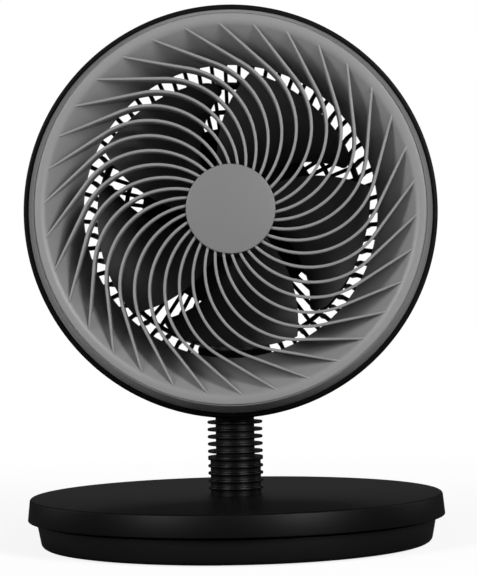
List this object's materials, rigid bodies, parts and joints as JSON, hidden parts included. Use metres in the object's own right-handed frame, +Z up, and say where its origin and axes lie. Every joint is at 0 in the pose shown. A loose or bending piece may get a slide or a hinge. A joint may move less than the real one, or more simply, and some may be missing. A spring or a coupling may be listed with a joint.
{
  "type": "air circulator fan",
  "caption": "Desk air circulator: round grilled head with curved vanes on a ribbed tilting neck, over a round base whose top turns.",
  "frame": {"origin": "on the floor under the middle of the round base", "axes": "+Z up, air blows towards -Y, +X to the right of someone facing the grille"},
  "size_m": [0.2346, 0.2346, 0.3019],
  "materials": {
    "grille_grey": "fine satin moulding",
    "cap_grey": "satin disc",
    "housing_black": "fine spark-eroded texture",
    "cage_black": "satin",
    "impeller_black": "semi-gloss moulding",
    "base_black": "satin",
    "turntable_black": "fine texture",
    "post_black": "satin ribs",
    "bellows_rubber": "moulded rubber",
    "foot_rubber": "soft rubber",
    "button_black": "semi-gloss caps",
    "jack_black": "moulded socket",
    "screw_steel": "zinc plated",
    "motor_steel": "zinc plated pressing",
    "core_steel": "laminated electrical steel",
    "magnet_ferrite": "ferrite",
    "coil_copper": "enamelled copper",
    "board_green": "solder mask",
    "mount_aluminium": "die cast",
    "ballast_steel": "black oxide plate",
    "gear_white": "acetal",
    "switch_black": "moulded switch body",
    "washer_fibre": "friction fibre"
  },
  "bodies": {
    "base": {"base_shell": "base_black", "bottom_cover": "base_black", "ballast_plate": "ballast_steel", "ballast_screws": "screw_steel", "rubber_feet": "foot_rubber", "base_screws": "screw_steel", "control_board": "board_green", "board_screws": "screw_steel", "tact_switches": "switch_black", "dc_jack": "jack_black", "swing_motor": "motor_steel", "swing_motor_screws": "screw_steel", "glide_ring": "gear_white"},
    "turntable": {"turntable_cover": "turntable_black", "ring_gear": "gear_white", "gear_screws": "screw_steel", "retaining_plate": "motor_steel", "retainer_screws": "screw_steel", "neck_post": "post_black", "post_screws": "screw_steel", "hinge_pin": "screw_steel", "hinge_nut": "screw_steel", "friction_washers": "washer_fibre", "neck_bellows": "bellows_rubber"},
    "pinion": {"swing_pinion": "gear_white"},
    "head": {"tilt_arm": "mount_aluminium", "arm_screws": "screw_steel", "head_housing": "housing_black", "front_grille": "grille_grey", "centre_cap": "cap_grey", "grille_screws": "screw_steel", "rear_grille": "cage_black", "rear_grille_screws": "screw_steel", "motor_cover": "cage_black", "motor_mount": "mount_aluminium", "motor_screws": "screw_steel", "motor_bearings": "motor_steel", "stator_core": "core_steel", "stator_coils": "coil_copper", "motor_board": "board_green"},
    "impeller": {"impeller": "impeller_black", "impeller_nut": "screw_steel", "motor_shaft": "motor_steel", "rotor_cup": "motor_steel", "magnet_ring": "magnet_ferrite"},
    "speed_key": {"speed_button": "button_black", "speed_plunger": "switch_black"},
    "swing_key": {"swing_button": "button_black", "swing_plunger": "switch_black"}
  },
  "joints": [
    {"name": "swing", "type": "hinge", "parent": "base", "child": "turntable", "pos_m": [0, 0, 0.0145], "axis": [0, 0, 1], "range_deg": [-45, 45]},
    {"name": "pinion_turn", "type": "hinge", "parent": "base", "child": "pinion", "pos_m": [0.04, 0, 0.0145], "axis": [0, 0, 1], "range_deg": [-180, 180]},
    {"name": "tilt", "type": "hinge", "parent": "turntable", "child": "head", "pos_m": [0, 0, 0.062], "axis": [-1, 0, 0], "range_deg": [-12, 28], "deforming": ["neck_bellows"]},
    {"name": "impeller_spin", "type": "hinge", "parent": "head", "child": "impeller", "pos_m": [0, -0.043, 0.1874], "axis": [0, -0.9997, 0.0227], "continuous": true},
    {"name": "speed_press", "type": "slide", "parent": "base", "child": "speed_key", "axis": [0.2419, -0.9703, 0], "range_m": [0, 0.0006], "stiffness_N_per_m": 1500, "springref_m": -0.0004},
    {"name": "swing_press", "type": "slide", "parent": "base", "child": "swing_key", "axis": [-0.2419, -0.9703, 0], "range_m": [0, 0.0006], "stiffness_N_per_m": 1500, "springref_m": -0.0004}
  ],
  "couplings": [
    {"joint": "pinion_turn", "follows": "swing", "ratio": -4}
  ]
}
